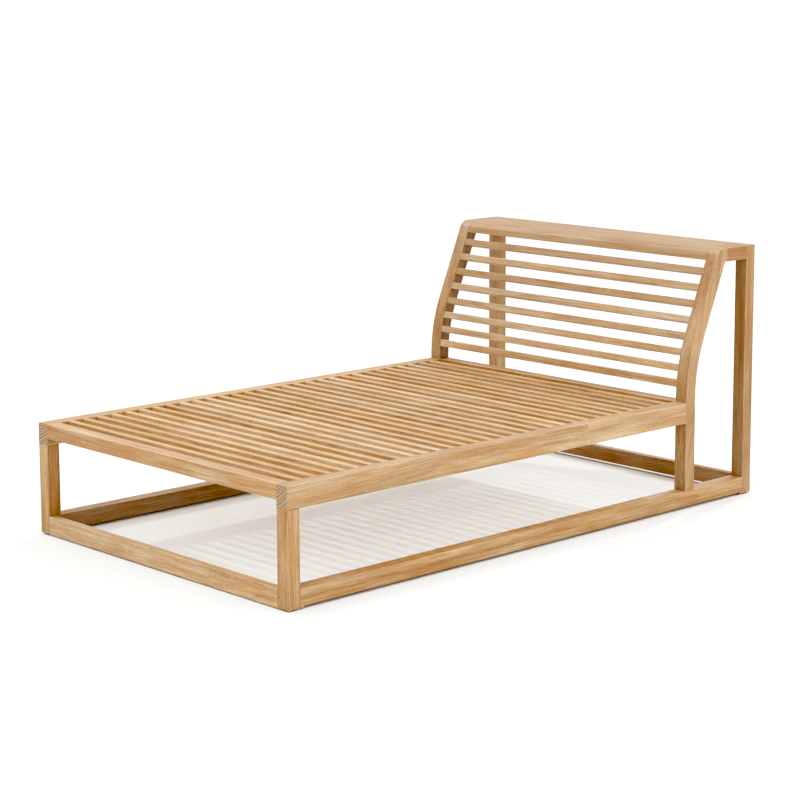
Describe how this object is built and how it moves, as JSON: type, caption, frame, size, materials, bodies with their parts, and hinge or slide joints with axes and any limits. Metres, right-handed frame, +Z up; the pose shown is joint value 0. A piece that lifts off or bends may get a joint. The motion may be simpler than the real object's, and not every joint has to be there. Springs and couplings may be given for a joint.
{
  "type": "chaise longue",
  "caption": "Low slatted wooden chaise longue: open box frame, slatted seat deck, and a fixed back whose posts curve up to a wide flat top board.",
  "frame": {"origin": "on the floor, under the middle of the footprint", "axes": "+X to the right as seen from the foot end, +Y from the foot end to the head end, +Z up"},
  "size_m": [0.95, 1.6, 0.667],
  "materials": {
    "frame_teak": "bare sanded teak, matt, fine dark pores along the grain",
    "slat_teak": "bare sanded teak, matt",
    "board_teak": "bare sanded teak, matt, long straight grain",
    "top_rail_teak": "bare sanded teak of a redder cut, matt",
    "pin_wood": "dark end grain",
    "dowel_wood": "plain beech dowel, hidden",
    "glide_nylon": "near-black moulded nylon"
  },
  "bodies": {
    "root": {"foot_leg_left": "frame_teak", "foot_leg_right": "frame_teak", "seat_rail_left": "frame_teak", "seat_rail_right": "frame_teak", "base_rail_left": "frame_teak", "base_rail_right": "frame_teak", "back_post_left": "frame_teak", "back_post_right": "frame_teak", "rear_post_left": "frame_teak", "rear_post_right": "frame_teak", "foot_rail": "frame_teak", "head_rail": "frame_teak", "foot_stretcher": "frame_teak", "rear_stretcher": "frame_teak", "top_rail_left": "top_rail_teak", "top_rail_right": "top_rail_teak", "top_board": "board_teak", "seat_slat_01": "slat_teak", "seat_slat_02": "slat_teak", "seat_slat_03": "slat_teak", "seat_slat_04": "slat_teak", "seat_slat_05": "slat_teak", "seat_slat_06": "slat_teak", "seat_slat_07": "slat_teak", "seat_slat_08": "slat_teak", "seat_slat_09": "slat_teak", "seat_slat_10": "slat_teak", "seat_slat_11": "slat_teak", "seat_slat_12": "slat_teak", "seat_slat_13": "slat_teak", "seat_slat_14": "slat_teak", "seat_slat_15": "slat_teak", "seat_slat_16": "slat_teak", "seat_slat_17": "slat_teak", "seat_slat_18": "slat_teak", "seat_slat_19": "slat_teak", "seat_slat_20": "slat_teak", "seat_slat_21": "slat_teak", "seat_slat_22": "slat_teak", "seat_slat_23": "slat_teak", "seat_slat_24": "slat_teak", "seat_slat_25": "slat_teak", "seat_slat_26": "slat_teak", "seat_slat_27": "slat_teak", "seat_slat_28": "slat_teak", "seat_slat_29": "slat_teak", "seat_slat_30": "slat_teak", "back_slat_1": "slat_teak", "back_slat_2": "slat_teak", "back_slat_3": "slat_teak", "back_slat_4": "slat_teak", "back_slat_5": "slat_teak", "back_slat_6": "slat_teak", "back_slat_7": "slat_teak", "back_slat_8": "slat_teak", "glides": "glide_nylon", "locking_pins": "pin_wood", "board_dowels": "dowel_wood"}
  },
  "joints": []
}
